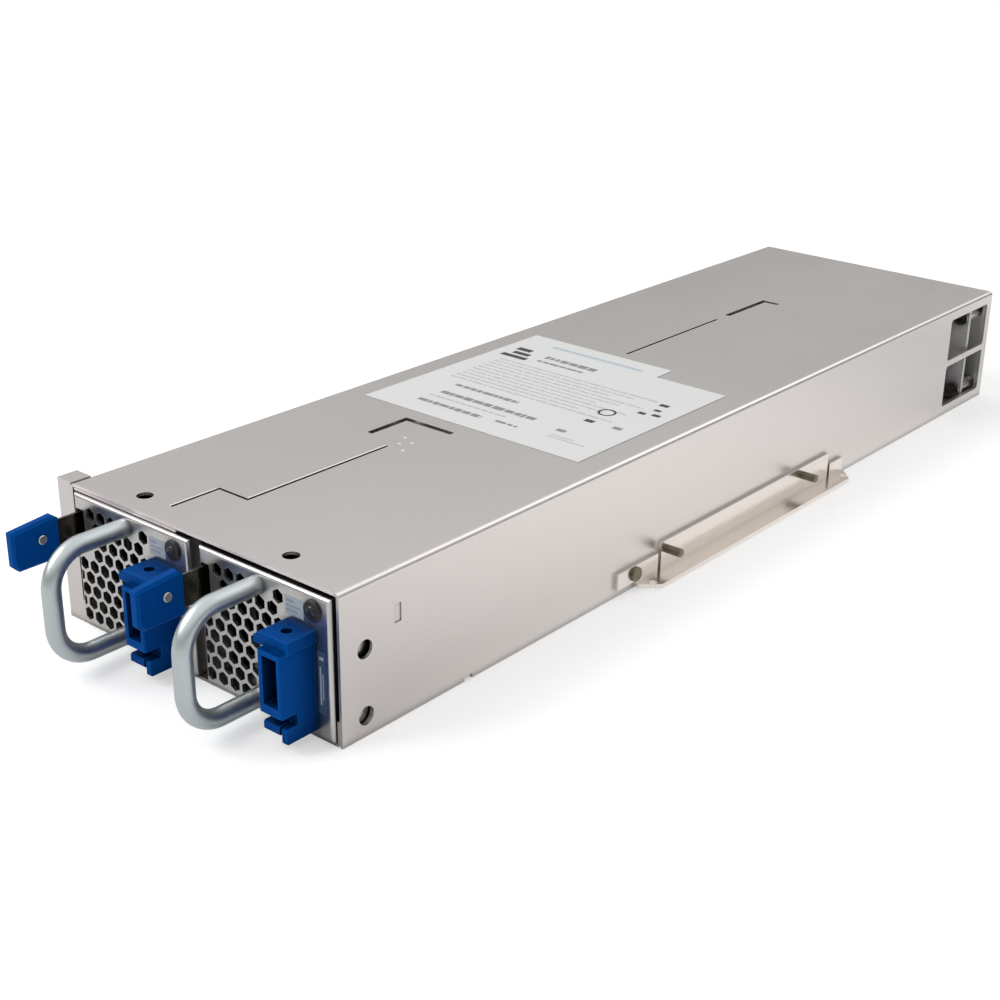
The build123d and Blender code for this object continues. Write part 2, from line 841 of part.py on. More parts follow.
def make_chassis():
    """The module's tray: floor, side walls and rear wall folded from one sheet."""
    z1 = module_high - wall
    outer = block(0, module_w, pan_l, module_l, module_low, z1)
    outer = fillet(outer.edges().filter_by(Axis.Y).group_by(Axis.Z)[0], bend_r)
    inner = block(wall, module_w - wall, pan_l - 1, module_l - wall, module_low + wall, z1 + 1)
    inner = fillet(inner.edges().filter_by(Axis.Y).group_by(Axis.Z)[0], bend_r - wall)
    tray = outer - inner
    y0 = barb_y - barb_window_clear
    y1 = barb_y + barb_l + barb_window_clear
    tray -= block(-1, wall + 0.1, y0, y1, strip_low - strip_side_gap, strip_low + strip_h + strip_side_gap)
    for y, z in latch_rivet_places():
        tray -= rod_x(-1, wall + 0.1, y, z, latch_rivet_d + latch_rivet_clear * 2)
    gap = edge_tongue_gap * 4
    x0 = edge_tongue_x - gap
    x1 = edge_tongue_x + edge_tongue_w + gap
    tray -= block(x0, x1, module_l - wall * 2, module_l + 1, board_z - gap, board_top + gap)
    for i in range(exhaust_count):
        x0 = module_w / 2 + (i - (exhaust_count - 1) / 2) * exhaust_pitch - exhaust_w / 2
        z0 = exhaust_low
        tray -= block(x0, x0 + exhaust_w, module_l - wall * 1.5, module_l + 1, z0, z1 - exhaust_top)
    for x0, x1, y, z in lid_screw_places():
        tray -= rod_x(x0 - 0.1, x1 + 0.1, y, z, lid_screw_d)
    for x, y in post_places():
        tray -= rod_z(module_low - 1, module_low + wall + 0.1, x, y, post_foot_d)
    return tray


def lid_screw_places():
    z = module_high - wall - lid_flange_h / 2
    places = []
    for y in (lid_screw_front, module_l - lid_screw_rear):
        places.append((0, wall, y, z))
        places.append((module_w - wall, module_w, y, z))
    return places


def make_lid():
    """The module's top sheet, with two flanges folded down inside the tray's walls."""
    z1 = module_high
    z0 = z1 - wall
    lid = block(0, module_w, pan_l, module_l, z0, z1)
    y0 = lid_flange_start
    y1 = module_l - lid_flange_end
    for x in (wall, module_w - wall * 2):
        lid += block(x, x + wall, y0, y1, z0 - lid_flange_h, z0)
    for x0, x1, y, z in lid_screw_places():
        lid -= rod_x(x0 - wall - 0.1, x1 + wall + 0.1, y, z, lid_screw_d)
    return lid


def make_lid_screws():
    screws = []
    for x0, x1, y, z in lid_screw_places():
        inner = wall + lid_screw_tip
        if x0 < module_w / 2:
            screws.append(rod_x(x0, x1 + inner, y, z, lid_screw_d))
        else:
            screws.append(rod_x(x0 - inner, x1, y, z, lid_screw_d))
    return screws


def make_inlet_housing():
    """The moulded power inlet: a deep mouth between a cap with a bolt hole and two feet."""
    x0 = inlet_x
    x1 = inlet_x + inlet_w
    z0 = inlet_low
    z1 = inlet_low + inlet_h
    body = block(x0, x1, -inlet_l, 0, z0, z1)
    body = fillet(body.edges().filter_by(Axis.Z).group_by(Axis.Y)[0], inlet_edge_r)
    cap_x0 = x0 - inlet_cap_left
    cap_x1 = x1 + inlet_cap_right
    cap_z = z1 + inlet_cap_h
    rim_z = cap_z - inlet_cap_h * 0.4
    cap = block(cap_x0, cap_x1, -inlet_cap_l, 0, z1, rim_z)
    cap += block(cap_x0 + inlet_cap_step, cap_x1, -inlet_cap_l, 0, z1, cap_z)
    foot_top = z0 - inlet_neck_h
    foot_z = foot_top - inlet_foot_h
    gap_x = x0 + inlet_foot_left
    feet = block(x0, gap_x, -inlet_foot_l, 0, foot_z, foot_top)
    feet += block(gap_x + inlet_foot_gap, x1, -inlet_foot_l, 0, foot_z - inlet_foot_step, foot_top)
    feet = fillet(feet.edges().filter_by(Axis.X).group_by(Axis.Y)[0], inlet_edge_r)
    neck = block(x0, x1, -inlet_neck_l, 0, foot_z + inlet_floor, z0)
    housing = body + cap + feet + neck + inlet_tail_block(0, 0, inlet_tail)
    hole_x = (cap_x0 + inlet_cap_step + cap_x1) / 2
    housing -= rod_z(z1 - inlet_skin, cap_z + 1, hole_x, -inlet_cap_l / 2, inlet_cap_hole_d)
    mouth_x = x0 + inlet_mouth_left
    mouth_z0 = z0 + inlet_wall
    mouth_z1 = z1 - inlet_wall / 2
    housing -= block(mouth_x, mouth_x + inlet_mouth_w, -inlet_l - 1, -inlet_floor, mouth_z0, mouth_z1)
    for z in pin_heights():
        housing -= rod_y(-inlet_floor - 1, inlet_tail + 1, mouth_x + inlet_mouth_w / 2, z, pin_d)
    return housing


def pin_heights():
    span = inlet_h - inlet_wall * 1.5
    return [inlet_low + inlet_wall + span * share for share in pin_shares]


def make_inlet_pins():
    pins = []
    x = inlet_x + inlet_mouth_left + inlet_mouth_w / 2
    for z in pin_heights():
        pin = rod_y(-pin_l, inlet_tail + pin_tail, x, z, pin_d)
        pins.append(chamfer(pin.edges().group_by(Axis.Y)[0], pin_d / 5))
    return pins


def make_lamp_bezel():
    x, z = lamp_place()
    bezel = rod_y(-lamp_rim, 0, x, z, lamp_rim_d)
    bezel = fillet(bezel.edges().group_by(Axis.Y)[0], lamp_rim / 2)
    bezel += rod_y(0, lamp_tail, x, z, lamp_d)
    return bezel - rod_y(-lamp_rim - 1, lamp_tail + 1, x, z, lamp_lens_d)


def make_lamp_lens():
    x, z = lamp_place()
    lens = rod_y(-lamp_rim - lens_proud, lamp_tail, x, z, lamp_lens_d)
    return fillet(lens.edges().group_by(Axis.Y)[0], lamp_lens_d / 4)


def fan_centre():
    return fan_left + fan_size / 2


def fan_hole_places():
    reach = fan_size / 2 - fan_hole_inset
    cx = fan_centre()
    return [(cx + sx * reach, fan_z + sz * reach) for sx in (-1, 1) for sz in (-1, 1)]


def make_fan_frame():
    """A square frame with a round duct, and a motor base held by four struts."""
    x0 = fan_left
    x1 = fan_left + fan_size
    z0 = fan_z - fan_size / 2
    z1 = fan_z + fan_size / 2
    y0 = fan_start
    y1 = fan_start + fan_l
    cx = fan_centre()
    bore_d = fan_size - fan_wall * 2
    frame = block(x0, x1, y0, y1, z0, z1)
    frame = fillet(frame.edges().filter_by(Axis.Y), fan_corner_r)
    waist = block(x0 - 1, x1 + 1, y0 + fan_flange_l, y1 - fan_flange_l, z0 - 1, z1 + 1)
    frame -= waist - rod_y(y0, y1, cx, fan_z, fan_size)
    frame -= rod_y(y0 - 1, y1 + 1, cx, fan_z, bore_d)
    strut_y = y1 - fan_strut_l
    reach = bore_d / 2 + fan_wall / 2
    half = fan_strut_w / 2
    frame += block(cx - reach, cx + reach, strut_y, y1, fan_z - half, fan_z + half)
    frame += block(cx - half, cx + half, strut_y, y1, fan_z - reach, fan_z + reach)
    frame += rod_y(strut_y, y1, cx, fan_z, fan_hub_d)
    frame -= rod_y(strut_y - 1, y1 + 1, cx, fan_z, fan_shaft_d + fan_shaft_gap * 2)
    for x, z in fan_hole_places():
        frame -= rod_y(y0 - 1, y1 + 1, x, z, fan_hole_d)
    return frame


def make_fan_rotor():
    """A cup-shaped hub on its shaft, with twisted blades."""
    y0 = fan_start + fan_face_gap
    y1 = fan_start + fan_l - fan_strut_l - fan_rear_gap
    length = y1 - y0
    tip = fan_size / 2 - fan_wall - fan_tip_gap
    hub = Cylinder(fan_hub_d / 2, length)
    rotor = fillet(hub.edges().group_by(Axis.Z)[-1], fan_hub_r)
    root_plane = Plane((fan_hub_d / 2 - fan_root_sink, 0, 0), z_dir=(1, 0, 0))
    tip_plane = Plane((tip, 0, 0), z_dir=(1, 0, 0))
    root = root_plane * Rot(0, 0, fan_root_angle) * Rectangle(fan_blade_t, fan_blade_chord)
    tip_t = fan_blade_t * fan_tip_thin
    end = tip_plane * Rot(0, 0, fan_tip_angle) * Rectangle(tip_t, fan_blade_chord * fan_tip_grow)
    blade = loft([root, end])
    for i in range(fan_blades):
        rotor += Rot(0, 0, i * 360 / fan_blades) * blade
    shaft_end = -length / 2 - fan_rear_gap - fan_strut_l
    rotor += rod_z(shaft_end, 0, 0, 0, fan_shaft_d)
    return Pos(fan_centre(), (y0 + y1) / 2, fan_z) * Rot(90, 0, 0) * rotor


def make_fan_screws():
    """Four long screws through the frame's corners."""
    screws = []
    for x, z in fan_hole_places():
        screw = rod_y(fan_start, fan_start + fan_l + fan_screw_tip, x, z, fan_screw_d)
        screws.append(screw + rod_y(fan_start - screw_head_h, fan_start, x, z, fan_screw_head_d))
    return screws


def post_places():
    x = board_side_gap + post_side
    ys = (board_y + post_inset, module_l - post_inset * 2)
    return [(px, y) for px in (x, module_w - x) for y in ys]


def make_main_board():
    """The module's circuit board, with its edge tongue out through the rear wall."""
    x0 = board_side_gap
    x1 = module_w - board_side_gap
    y1 = module_l - wall - board_rear_gap
    board = block(x0, x1, board_y, y1, board_z, board_top)
    tongue_x1 = edge_tongue_x + edge_tongue_w
    board += block(edge_tongue_x, tongue_x1, y1, module_l + edge_tongue_l, board_z, board_top)
    for x, y in post_places():
        board -= rod_z(board_z - 1, board_top + 1, x, y, screw_d)
    return board


def make_board_posts():
    """Posts from the tray's floor, each with a screw through the board."""
    posts = []
    for x, y in post_places():
        post = rod_z(module_low + wall, board_z, x, y, post_d)
        post += rod_z(module_low, module_low + wall, x, y, post_foot_d)
        post += rod_z(board_z, board_top, x, y, screw_d)
        post += rod_z(board_top, board_top + screw_head_h, x, y, screw_head_d)
        posts.append(post)
    return posts


def make_transformer():
    """A wound core on a bobbin that stands on the board."""
    cx = module_w / 2
    y0 = transformer_y
    y1 = transformer_y + transformer_l
    w = transformer_w / 2
    z1 = board_top + transformer_h
    coil_z = board_top + transformer_flange
    core_gap = transformer_l / 5
    core = block(cx - w, cx + w, y0 + core_gap, y1 - core_gap, board_top + transformer_flange / 2, z1)
    coil_w = w - coil_inset
    coil = block(cx - coil_w, cx + coil_w, y0, y1, coil_z, z1 - coil_inset)
    coil = fillet(coil.edges().filter_by(Axis.Z), coil_inset)
    inset = bobbin_inset
    bobbin = block(cx - w + inset, cx + w - inset, y0 + inset / 2, y1 - inset / 2, board_top, coil_z)
    return core + coil + bobbin


def make_capacitors():
    cans = []
    cx = module_w / 2
    for i in range(capacitor_count):
        y = capacitor_y + i * capacitor_pitch
        can = rod_z(board_top, board_top + capacitor_h, cx, y, capacitor_d)
        cans.append(fillet(can.edges().group_by(Axis.Z)[-1], can_edge_r))
    return cans


def make_heat_sinks():
    """Two finned bars along the board, one beside each wall."""
    sinks = []
    for side in (0, 1):
        base_x = sink_inset if side == 0 else module_w - sink_inset - sink_t
        bar = block(base_x, base_x + sink_t, sink_y, sink_y + sink_l, board_top, board_top + sink_h)
        fin_x = base_x + sink_t if side == 0 else base_x - fin_l
        step = (sink_l - fin_t) / (fin_count - 1)
        for i in range(fin_count):
            y = sink_y + i * step
            bar += block(fin_x, fin_x + fin_l, y, y + fin_t, board_top + fin_low, board_top + sink_h)
        sinks.append(bar)
    return sinks


def make_chokes():
    """Two ring chokes standing behind the transformer."""
    rings = []
    for i in range(choke_count):
        y = choke_y + i * choke_pitch
        z = board_top + choke_d / 2
        ring = rod_y(y, y + choke_h, module_w / 2, z, choke_d)
        ring = fillet(ring.edges(), choke_edge_r)
        rings.append(ring - rod_y(y - 1, y + choke_h + 1, module_w / 2, z, choke_bore))
    return rings


cage_makers = {
    "cage_wrap": make_cage_wrap,
    "cage_base": make_cage_base,
    "centre_partition": make_centre_partition,
    "rear_panel": make_rear_panel,
    "front_ear": make_front_ear,
    "side_bracket": make_side_bracket,
    "bracket_studs": make_bracket_studs,
    "bracket_screw": make_bracket_screw,
    "rating_label": make_rating_label,
    "backplane_board": make_backplane_board,
    "backplane_sockets": make_backplane_sockets,
    "output_headers": make_output_headers,
    "backplane_screws": make_backplane_screws,
}

module_makers = {
    "chassis": make_chassis,
    "lid": make_lid,
    "lid_screws": make_lid_screws,
    "front_plate": make_front_plate,
    "handle": make_handle,
    "handle_screws": make_handle_screws,
    "latch_spring": make_latch_spring,
    "latch_rivets": make_latch_rivets,
    "release_tab": make_release_tab,
    "tab_rivet": make_tab_rivet,
    "inlet_housing": make_inlet_housing,
    "inlet_pins": make_inlet_pins,
    "lamp_bezel": make_lamp_bezel,
    "lamp_lens": make_lamp_lens,
    "fan_frame": make_fan_frame,
    "fan_rotor": make_fan_rotor,
    "fan_screws": make_fan_screws,
    "main_board": make_main_board,
    "board_posts": make_board_posts,
    "transformer": make_transformer,
    "capacitors": make_capacitors,
    "heat_sinks": make_heat_sinks,
    "chokes": make_chokes,
}


def write_step(shape, name):
    solids = shape if isinstance(shape, list) else shape.solids()
    model = solids[0] if len(solids) == 1 else Compound(children=list(solids))
    model.label = name
    export_step(model, f"parts/{name}.step")


def main():
    os.makedirs("parts", exist_ok=True)
    for name, maker in cage_makers.items():
        write_step(maker(), name)
    for name, maker in module_makers.items():
        made = maker()
        pieces = made if isinstance(made, list) else [made]
        for module, x in module_lefts.items():
            place = Pos(x, front - face_proud, 0)
            solids = [place * solid for piece in pieces for solid in piece.solids()]
            write_step(solids, f"module_{module}_{name}")


main()
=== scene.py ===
import bpy
import json
import math
import numpy as np
from mathutils import Matrix, Vector


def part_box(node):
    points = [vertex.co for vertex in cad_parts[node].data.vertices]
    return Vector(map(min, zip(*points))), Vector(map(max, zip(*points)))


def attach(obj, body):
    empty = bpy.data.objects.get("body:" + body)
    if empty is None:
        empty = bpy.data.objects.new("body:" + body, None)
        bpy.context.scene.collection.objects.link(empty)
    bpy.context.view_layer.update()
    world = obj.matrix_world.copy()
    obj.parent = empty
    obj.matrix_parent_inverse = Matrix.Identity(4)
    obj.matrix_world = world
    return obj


# The looks of a redundant power supply: a slim sheet-metal cage with two pull-out modules.
# Metres, the front faces -Y, and the cage's bottom face is at z = 0.

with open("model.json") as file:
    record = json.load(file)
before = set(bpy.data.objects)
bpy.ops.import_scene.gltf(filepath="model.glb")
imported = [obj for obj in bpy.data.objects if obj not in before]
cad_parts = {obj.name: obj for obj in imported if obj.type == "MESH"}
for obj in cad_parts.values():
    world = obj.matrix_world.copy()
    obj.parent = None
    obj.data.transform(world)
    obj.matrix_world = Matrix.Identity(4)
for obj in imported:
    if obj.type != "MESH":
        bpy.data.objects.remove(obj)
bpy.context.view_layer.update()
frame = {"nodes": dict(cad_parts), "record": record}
cadNodes = frame["nodes"]
print("frame loaded with", len(cadNodes), "CAD nodes")

mm = 0.001
moduleNames = ("a", "b")
cageLow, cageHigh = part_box("cage_wrap")
topZ = cageHigh.z
frontY = cageLow.y
leftX = cageLow.x
rightX = cageHigh.x


# Shader helpers

def shaderNode(tree, kind, **settings):
    node = tree.nodes.new(kind)
    for key, value in settings.items():
        if key in node.inputs:
            node.inputs[key].default_value = value
        else:
            setattr(node, key, value)
    return node


def mathNode(tree, operation, first, second=0.0, third=0.0, clamp=False):
    node = tree.nodes.new("ShaderNodeMath")
    node.operation = operation
    node.use_clamp = clamp
    for socket, value in zip(node.inputs, (first, second, third)):
        if isinstance(value, bpy.types.NodeSocket):
            tree.links.new(value, socket)
        else:
            socket.default_value = value
    return node.outputs[0]


def objectPoint(tree, scale=(1, 1, 1)):
    coords = tree.nodes.new("ShaderNodeTexCoord")
    mapping = tree.nodes.new("ShaderNodeMapping")
    mapping.inputs["Scale"].default_value = scale
    tree.links.new(coords.outputs["Object"], mapping.inputs["Vector"])
    return mapping.outputs["Vector"]


def noiseValue(tree, scale, stretch=(1, 1, 1), detail=3.0, roughness=0.55):
    node = shaderNode(tree, "ShaderNodeTexNoise", Scale=scale, Detail=detail, Roughness=roughness)
    tree.links.new(objectPoint(tree, stretch), node.inputs["Vector"])
    return node.outputs["Fac"]


def newGroup(name, inputs, outputs):
    group = bpy.data.node_groups.new(name, "ShaderNodeTree")
    for label, kind, value in inputs:
        socket = group.interface.new_socket(name=label, in_out="INPUT", socket_type=kind)
        socket.default_value = value
    for label, kind in outputs:
        group.interface.new_socket(name=label, in_out="OUTPUT", socket_type=kind)
    return group, group.nodes.new("NodeGroupInput"), group.nodes.new("NodeGroupOutput")


def tinted(tree, colour, factor):
    mix = shaderNode(tree, "ShaderNodeVectorMath", operation="SCALE")
    tree.links.new(colour, mix.inputs[0])
    tree.links.new(factor, mix.inputs["Scale"])
    return mix.outputs[0]


sheetTexture = {
    "grain": (2200, (1, 0.012, 1), 2.0),  # noise scale, stretch and detail
    "cloud": (16, (1, 0.6, 1), 4.0, 0.6),
    "speckle": (1500, (1, 1, 1), 2.0),
    "speckleShade": 0.05,
    "speckleHeight": 0.6,
    "cloudRough": 0.12,
    "speckleRough": 0.06,
}


def makeSheetGroup():
    # Rolled and plated sheet: long fine grain along Y, soft clouds, and a fine speckle.
    group, given, out = newGroup(
        "platedSheet",
        [("Color", "NodeSocketColor", (0.7, 0.7, 0.7, 1)), ("Roughness", "NodeSocketFloat", 0.3),
         ("Cloud", "NodeSocketFloat", 0.1), ("Grain", "NodeSocketFloat", 0.1)],
        [("Color", "NodeSocketColor"), ("Roughness", "NodeSocketFloat"), ("Height", "NodeSocketFloat")])
    grain = mathNode(group, "SUBTRACT", noiseValue(group, *sheetTexture["grain"]), 0.5)
    cloud = mathNode(group, "SUBTRACT", noiseValue(group, *sheetTexture["cloud"]), 0.5)
    speckle = mathNode(group, "SUBTRACT", noiseValue(group, *sheetTexture["speckle"]), 0.5)
    shade = mathNode(group, "MULTIPLY", grain, given.outputs["Grain"])
    shade = mathNode(group, "MULTIPLY_ADD", cloud, given.outputs["Cloud"], shade)
    shade = mathNode(group, "MULTIPLY_ADD", speckle, sheetTexture["speckleShade"], shade)
    shade = mathNode(group, "ADD", shade, 1.0)
    group.links.new(tinted(group, given.outputs["Color"], shade), out.inputs["Color"])
    rough = mathNode(group, "MULTIPLY", cloud, sheetTexture["cloudRough"])
    rough = mathNode(group, "MULTIPLY_ADD", speckle, sheetTexture["speckleRough"], rough)
    rough = mathNode(group, "ADD", rough, given.outputs["Roughness"], clamp=True)
    group.links.new(rough, out.inputs["Roughness"])
    height = mathNode(group, "MULTIPLY_ADD", speckle, sheetTexture["speckleHeight"], grain)
    group.links.new(height, out.inputs["Height"])
    return group


# Brighter edges: on metal worn plating together with a painted highlight, on plastic a painted highlight
# only.
edgeWearAndHighlight = {
    "radius": 0.00035,
    "samples": 4,
    "breakup": (420, (1, 1, 1), 3.0),  # noise scale, stretch and detail
    "bareSteel": (0.92, 0.90, 0.87, 1),
    "sheetGain": 3.0,
    "sheetBreakup": 0.1,
    "sheetDulling": 0.35,
    "plasticBreakup": 0.25,
}


def makeEdgeGroup():
    # Edge mask: the angle between the face's normal and the normal of a rounded edge.
    group, given, out = newGroup(
        "edgeMask",
        [("Breakup", "NodeSocketFloat", 0.3), ("Gain", "NodeSocketFloat", 6.0)],
        [("Mask", "NodeSocketFloat")])
    rounded = shaderNode(
        group, "ShaderNodeBevel", samples=edgeWearAndHighlight["samples"], Radius=edgeWearAndHighlight["radius"])
    plain = group.nodes.new("ShaderNodeNewGeometry")
    dot = shaderNode(group, "ShaderNodeVectorMath", operation="DOT_PRODUCT")
    group.links.new(rounded.outputs[0], dot.inputs[0])
    group.links.new(plain.outputs["Normal"], dot.inputs[1])
    mask = mathNode(group, "SUBTRACT", 1.0, dot.outputs["Value"])
    mask = mathNode(group, "MULTIPLY", mask, given.outputs["Gain"])
    broken = mathNode(group, "SUBTRACT", noiseValue(group, *edgeWearAndHighlight["breakup"]), 0.5)
    mask = mathNode(group, "MULTIPLY_ADD", broken, given.outputs["Breakup"], mask)
    mask = mathNode(group, "MAXIMUM", mask, 0.0, clamp=True)
    group.links.new(mask, out.inputs["Mask"])
    return group


mouldTexture = {
    "fine": (3200, (1, 1, 1), 2.0),  # noise scale, stretch and detail
    "patch": (90, (1, 1, 1), 3.0),
    "patchShade": 2.0,
    "bump": 0.12,
    "bumpDistance": 0.00004,
}


def makeMouldGroup():
    # Moulded plastic: the eroded texture of the tool, with patches a touch smoother.
    group, given, out = newGroup(
        "mouldedSkin",
        [("Roughness", "NodeSocketFloat", 0.4), ("Patches", "NodeSocketFloat", 0.1)],
        [("Roughness", "NodeSocketFloat"), ("Height", "NodeSocketFloat"), ("Shade", "NodeSocketFloat")])
    fine = noiseValue(group, *mouldTexture["fine"])
    patch = mathNode(group, "SUBTRACT", noiseValue(group, *mouldTexture["patch"]), 0.5)
    rough = mathNode(group, "MULTIPLY_ADD", patch, given.outputs["Patches"], given.outputs["Roughness"])
    group.links.new(rough, out.inputs["Roughness"])
    group.links.new(fine, out.inputs["Height"])
    shade = mathNode(group, "MULTIPLY", patch, given.outputs["Patches"])
    shade = mathNode(group, "MULTIPLY_ADD", shade, mouldTexture["patchShade"], 1.0)
    group.links.new(shade, out.inputs["Shade"])
    return group


# Painted shade in the colour of surfaces near other faces.
paintedShadeSetup = {"samples": 6, "power": 1.6, "depth": 0.6, "reach": 0.0022}


def makePaintedShadeGroup():
    # Painted shade: the colour grows darker where other faces stand close by, inside slots, seams and
    # corners.
    group, given, out = newGroup(
        "paintedCreviceShade",
        [("Depth", "NodeSocketFloat", paintedShadeSetup["depth"]), ("Reach", "NodeSocketFloat", paintedShadeSetup["reach"])],
        [("Shade", "NodeSocketFloat")])
    hidden = shaderNode(group, "ShaderNodeAmbientOcclusion", samples=paintedShadeSetup["samples"])
    group.links.new(given.outputs["Reach"], hidden.inputs["Distance"])
    clear = mathNode(group, "POWER", hidden.outputs["AO"], paintedShadeSetup["power"])
    lost = mathNode(group, "SUBTRACT", 1.0, clear)
    lost = mathNode(group, "MULTIPLY", lost, given.outputs["Depth"])
    group.links.new(mathNode(group, "SUBTRACT", 1.0, lost, clamp=True), out.inputs["Shade"])
    return group


sheetGroup = makeSheetGroup()
edgeGroup = makeEdgeGroup()
mouldGroup = makeMouldGroup()
paintedShadeGroup = makePaintedShadeGroup()


def groupNode(tree, group, **values):
    node = tree.nodes.new("ShaderNodeGroup")
    node.node_tree = group
    for key, value in values.items():
        node.inputs[key].default_value = value
    return node


def newMaterial(name):
    material = bpy.data.materials.new(name)
    material.use_nodes = True
    tree = material.node_tree
    return material, tree, tree.nodes["Principled BSDF"]


def addBump(tree, shader, height, strength, distance):
    bump = shaderNode(tree, "ShaderNodeBump", Strength=strength, Distance=distance)
    tree.links.new(height, bump.inputs["Height"])
    tree.links.new(bump.outputs["Normal"], shader.inputs["Normal"])


def mixColours(tree, factor, first, second):
    mix = tree.nodes.new("ShaderNodeMix")
    mix.data_type = "RGBA"
    for socket, value in ((mix.inputs[0], factor), (mix.inputs[6], first), (mix.inputs[7], second)):
        if isinstance(value, bpy.types.NodeSocket):
            tree.links.new(value, socket)
        else:
            socket.default_value = value
    return mix.outputs[2]


def metalMaterial(name, colour, roughness, cloud=0.1, grain=0.1, bump=0.05, edge=0.25, depth=0.75,
                  bumpDistance=0.00005):
    # edge is how far edges brighten, worn plating and painted highlight in one, and depth how far the
    # painted shade darkens seams.
    material, tree, shader = newMaterial(name)
    sheet = groupNode(tree, sheetGroup, Color=(*colour, 1), Roughness=roughness, Cloud=cloud, Grain=grain)
    shader.inputs["Metallic"].default_value = 1.0
    # Painted shade: the colour darkens near other faces.
    paintedShade = groupNode(tree, paintedShadeGroup, Depth=depth)
    shaded = tinted(tree, sheet.outputs["Color"], paintedShade.outputs["Shade"])
    # Edges brighten towards bare steel: worn plating, and a painted highlight along every edge.
    worn = groupNode(tree, edgeGroup, Gain=edgeWearAndHighlight["sheetGain"], Breakup=edgeWearAndHighlight["sheetBreakup"])
    bare = mathNode(tree, "MULTIPLY", worn.outputs["Mask"], edge)
    mixed = mixColours(tree, bare, shaded, edgeWearAndHighlight["bareSteel"])
    tree.links.new(mixed, shader.inputs["Base Color"])
    # Sheared edges are duller than the rolled faces.
    dull = mathNode(
        tree, "MULTIPLY_ADD", worn.outputs["Mask"], edgeWearAndHighlight["sheetDulling"], sheet.outputs["Roughness"])
    tree.links.new(dull, shader.inputs["Roughness"])
    addBump(tree, shader, sheet.outputs["Height"], bump, bumpDistance)
    return material


def plasticMaterial(name, colour, paintedHighlightColour, roughness, patches=0.12, gain=5.0, shine=0.5, reach=0.0022,
                    depth=0.7):
    # gain is how strongly the painted edge highlight shows, and reach how far from a corner the painted
    # shade starts, in metres.
    material, tree, shader = newMaterial(name)
    shader.inputs["Specular IOR Level"].default_value = shine
    skin = groupNode(tree, mouldGroup, Roughness=roughness, Patches=patches)
    edge = groupNode(tree, edgeGroup, Gain=gain, Breakup=edgeWearAndHighlight["plasticBreakup"])
    base = shaderNode(tree, "ShaderNodeRGB")
    base.outputs[0].default_value = (*colour, 1)
    shaded = tinted(tree, base.outputs[0], skin.outputs["Shade"])
    # Painted shade: the colour darkens near other faces.
    paintedShade = groupNode(tree, paintedShadeGroup, Depth=depth, Reach=reach)
    shaded = tinted(tree, shaded, paintedShade.outputs["Shade"])
    # Painted highlight: the edges are mixed towards a lighter colour.
    mixed = mixColours(tree, edge.outputs["Mask"], shaded, (*paintedHighlightColour, 1))
    tree.links.new(mixed, shader.inputs["Base Color"])
    tree.links.new(skin.outputs["Roughness"], shader.inputs["Roughness"])
    addBump(tree, shader, skin.outputs["Height"], mouldTexture["bump"], mouldTexture["bumpDistance"])
    return material


